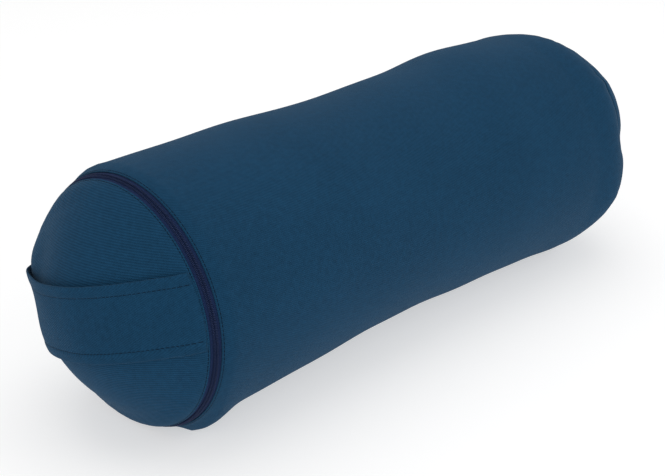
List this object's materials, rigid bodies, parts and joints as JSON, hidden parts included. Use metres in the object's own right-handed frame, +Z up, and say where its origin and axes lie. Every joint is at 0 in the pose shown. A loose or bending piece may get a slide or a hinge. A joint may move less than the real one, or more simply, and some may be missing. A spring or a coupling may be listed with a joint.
{
  "type": "bolster pillow",
  "caption": "Round yoga and massage bolster in cotton twill, with domed ends, a wide strap handle across one end and a zip round that end.",
  "frame": {"origin": "bottom centre of the bolster's box, on the surface that it lies on", "axes": "+X along the bolster, from the end with the handle and zip to the plain end; +Z up"},
  "size_m": [0.6685, 0.2284, 0.2241],
  "materials": {
    "twill": "petrol blue cotton twill",
    "thread": "petrol blue sewing thread",
    "zip_tape": "navy woven zip tape",
    "zip_plastic": "navy nylon coil",
    "zip_metal": "navy enamelled zinc",
    "bag_cotton": "unbleached cotton",
    "bag_zip_tape": "ecru woven zip tape",
    "bag_zip_plastic": "ecru nylon coil",
    "label_satin": "blank white satin",
    "filling": "loose grain hulls"
  },
  "bodies": {
    "bolster": {"care_label": "label_satin", "carry_handle": "twill", "cover_body_panel": "twill", "cover_far_end_panel": "twill", "cover_handle_end_panel": "twill", "far_seam_stitching": "thread", "handle_stitching_lower": "thread", "handle_stitching_upper": "thread", "hem_stitching_body_side": "thread", "hem_stitching_end_side": "thread", "hull_filling": "filling", "inner_bag_far_disc": "bag_cotton", "inner_bag_near_disc_lower": "bag_cotton", "inner_bag_near_disc_upper": "bag_cotton", "inner_bag_tube": "bag_cotton", "inner_zip_bottom_stop": "bag_zip_plastic", "inner_zip_coil_lower": "bag_zip_plastic", "inner_zip_coil_upper": "bag_zip_plastic", "inner_zip_tape_lower": "bag_zip_tape", "inner_zip_tape_upper": "bag_zip_tape", "inner_zip_top_stops": "bag_zip_plastic", "lengthwise_stitching": "thread", "zip_bottom_stop": "zip_plastic", "zip_coil_body_side": "zip_plastic", "zip_coil_end_side": "zip_plastic", "zip_end_tab": "twill", "zip_tape_body_side": "zip_tape", "zip_tape_end_side": "zip_tape", "zip_top_stops": "zip_plastic"},
    "zip_slider": {"zip_slider": "zip_metal"},
    "zip_pull": {"zip_pull": "zip_metal"},
    "inner_zip_slider": {"inner_zip_slider": "zip_metal"},
    "inner_zip_pull": {"inner_zip_pull": "zip_metal"}
  },
  "joints": [
    {"name": "zip_travel", "type": "hinge", "parent": "bolster", "child": "zip_slider", "pos_m": [-0.265, 0, 0.11], "axis": [1, 0, 0], "range_deg": [0, 300]},
    {"name": "zip_pull_flip", "type": "hinge", "parent": "zip_slider", "child": "zip_pull", "pos_m": [-0.26657, 0.10898, 0.11953], "axis": [0.9272, 0.3732, 0.0326], "range_deg": [0, 175]},
    {"name": "inner_zip_travel", "type": "hinge", "parent": "bolster", "child": "inner_zip_slider", "pos_m": [-0.1939, 0, 0.11], "axis": [0, 0, -1], "range_deg": [0, 54]},
    {"name": "inner_zip_pull_flip", "type": "hinge", "parent": "inner_zip_slider", "child": "inner_zip_pull", "pos_m": [-0.30545, -0.05684, 0.11], "axis": [0, 0, -1], "range_deg": [0, 6]}
  ]
}
